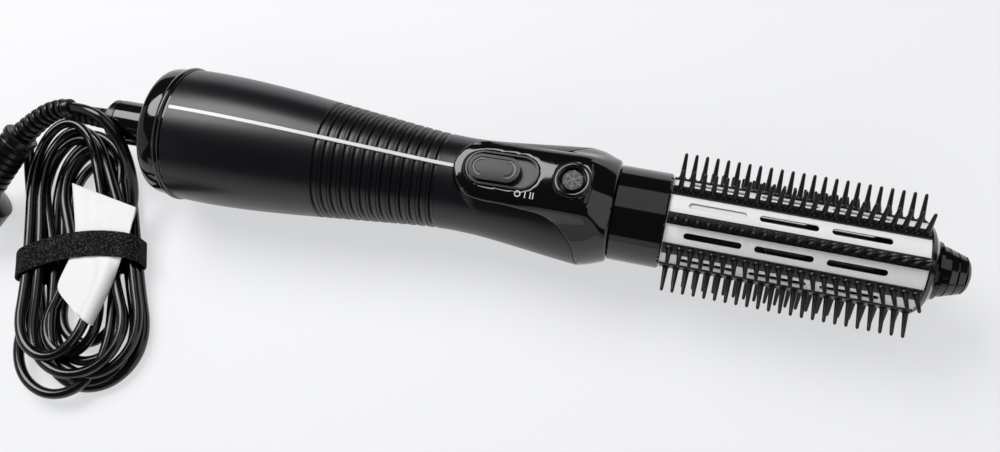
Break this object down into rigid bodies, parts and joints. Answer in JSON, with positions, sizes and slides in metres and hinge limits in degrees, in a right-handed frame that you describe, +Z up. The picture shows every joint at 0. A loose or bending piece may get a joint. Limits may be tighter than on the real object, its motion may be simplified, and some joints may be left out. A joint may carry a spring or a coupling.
{
  "type": "steam hair styling brush",
  "caption": "Hot-air styling brush with a waisted handle, slide switch, cold-shot button, slotted round bristle barrel, press-to-steam tip cartridge and a tied mains cord.",
  "frame": {"origin": "on the table under the middle of the brush, half-way between the cord relief's end and the knob's tip", "axes": "+X along the brush from the cord to the tip, +Z up with the switch and button on top"},
  "size_m": [0.4717, 0.1576, 0.062],
  "materials": {
    "soft_touch_black": "soft-touch matt black",
    "gloss_black": "high-gloss black",
    "satin_black": "satin black",
    "dark_grey": "dark grey satin",
    "mid_grey": "mid grey satin",
    "bright_trim": "bright silver",
    "barrel_metal": "satin anodised aluminium",
    "steel": "bright steel",
    "spring_steel": "drawn spring wire",
    "motor_steel": "zinc-plated steel",
    "fan_plastic": "natural moulded plastic",
    "heatproof_plastic": "heat-resistant plastic",
    "mica": "pale mica board",
    "coil_wire": "resistance wire",
    "board_green": "green circuit board",
    "switch_black": "moulded switch case",
    "cord_black": "black cord jacket",
    "lead_brown": "lead insulation",
    "seal_rubber": "silicone seal",
    "wick_white": "bonded fibre wick",
    "tank_plastic": "clear-grey tank plastic",
    "tie_fabric": "black woven hook-and-loop tape",
    "tag_card": "plain white tag",
    "pin_brass": "nickel-plated brass",
    "mesh_metal": "fine pierced sheet"
  },
  "bodies": {
    "handle": {"handle_shell_far": "soft_touch_black", "handle_shell_near": "soft_touch_black", "seam_trim": "bright_trim", "shell_screws": "steel", "front_housing": "gloss_black", "rear_collar": "gloss_black", "intake_grille": "satin_black", "lint_screen": "mesh_metal", "cord_boss": "gloss_black", "fan_shroud": "heatproof_plastic", "motor_can": "motor_steel", "motor_mount": "heatproof_plastic", "rectifier_board": "board_green", "heater_bulkhead": "heatproof_plastic", "heater_tube": "mica", "heater_former": "mica", "heater_coil": "coil_wire", "circuit_board": "board_green", "cold_shot_microswitch": "switch_black", "thermal_fuse": "steel", "thermostat": "steel", "slide_switch_body": "switch_black", "switch_tray": "mid_grey", "button_bezel": "bright_trim", "button_spring": "spring_steel", "air_nozzle": "heatproof_plastic", "mains_leads": "lead_brown", "cord_lead": "cord_black", "cord_tail": "cord_black", "cord_hank": "cord_black", "cable_tie": "tie_fabric", "cord_tag": "tag_card", "plug_relief": "cord_black", "plug_body": "satin_black", "plug_pins": "pin_brass"},
    "swivel": {"swivel_ring": "dark_grey", "strain_relief": "satin_black"},
    "fan": {"impeller": "fan_plastic", "motor_shaft": "steel"},
    "slider": {"switch_cap": "dark_grey"},
    "cold_shot": {"cold_shot_button": "satin_black"},
    "catch": {"catch_ring": "heatproof_plastic"},
    "brush": {"brush_sleeve": "satin_black", "barrel": "barrel_metal", "bristle_strip_1": "satin_black", "bristle_strip_2": "satin_black", "bristle_strip_3": "satin_black", "bristle_strip_4": "satin_black", "bristle_strip_5": "satin_black", "bristle_strip_6": "satin_black", "bristle_strip_7": "satin_black", "bristle_strip_8": "satin_black", "bristle_strip_9": "satin_black", "end_cap": "gloss_black"},
    "cartridge": {"water_cartridge": "tank_plastic", "cartridge_seal": "seal_rubber", "wick": "wick_white", "steam_spring": "spring_steel"},
    "steam_knob": {"tip_knob": "gloss_black"}
  },
  "joints": [
    {"name": "cord_swivel", "type": "hinge", "parent": "handle", "child": "swivel", "pos_m": [-0.175, 0, 0.031], "axis": [1, 0, 0], "continuous": true},
    {"name": "fan_spin", "type": "hinge", "parent": "handle", "child": "fan", "pos_m": [-0.12, 0, 0.031], "axis": [1, 0, 0], "continuous": true},
    {"name": "switch_slide", "type": "slide", "parent": "handle", "child": "slider", "axis": [0.9976, 0, 0.0698], "range_m": [0, 0.0066]},
    {"name": "cold_shot_press", "type": "slide", "parent": "handle", "child": "cold_shot", "axis": [0.0698, 0, -0.9976], "range_m": [0, 0.0012], "stiffness_N_per_m": 400, "springref_m": -0.0006, "deforming": ["button_spring"]},
    {"name": "brush_twist", "type": "hinge", "parent": "handle", "child": "catch", "pos_m": [0.067, 0, 0.031], "axis": [1, 0, 0], "range_deg": [0, 20]},
    {"name": "brush_pull", "type": "slide", "parent": "catch", "child": "brush", "axis": [1, 0, 0], "range_m": [0, 0.05]},
    {"name": "cartridge_pull", "type": "slide", "parent": "brush", "child": "cartridge", "axis": [1, 0, 0], "range_m": [0, 0.078]},
    {"name": "steam_press", "type": "slide", "parent": "cartridge", "child": "steam_knob", "axis": [-1, 0, 0], "range_m": [0, 0.002], "stiffness_N_per_m": 400, "springref_m": -0.001, "deforming": ["steam_spring"]}
  ]
}
